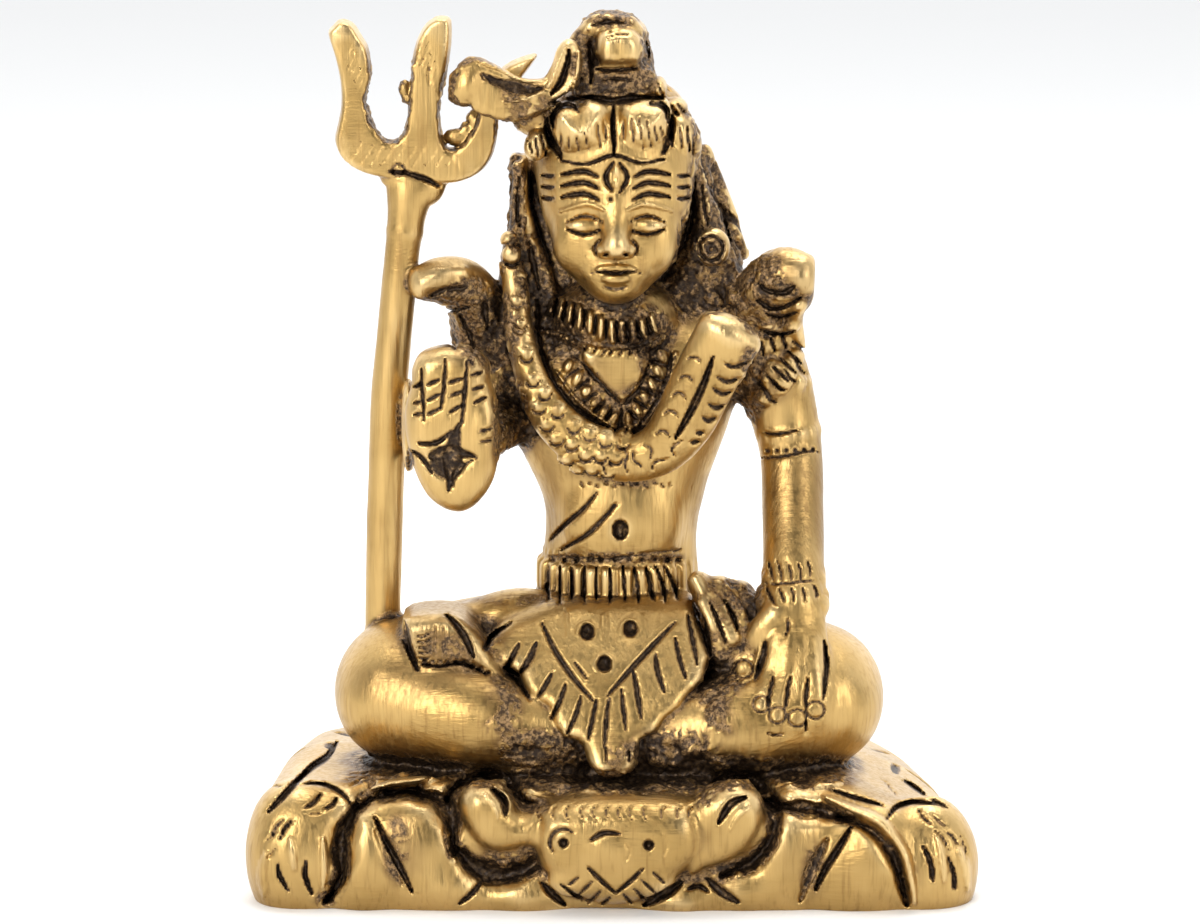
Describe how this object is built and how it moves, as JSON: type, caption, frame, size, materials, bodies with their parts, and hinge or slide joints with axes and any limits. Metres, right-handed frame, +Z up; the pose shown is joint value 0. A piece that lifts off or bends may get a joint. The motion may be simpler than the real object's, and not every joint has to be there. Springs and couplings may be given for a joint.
{
  "type": "seated shiva figure",
  "caption": "Small solid-cast brass idol of Shiva seated cross-legged on a tiger skin, one palm raised, with a standing trident.",
  "frame": {"origin": "on the underside, under the middle of the bounding box", "axes": "+Z up along the figure's height, +X to the viewer's right (the figure's left), the face looks along -Y"},
  "size_m": [0.0716, 0.0466, 0.085],
  "materials": {
    "brass": "hand-filed and buffed cast brass with dark brown patina left in the hollows"
  },
  "bodies": {
    "root": {"shiva_figure": "brass"}
  },
  "joints": []
}
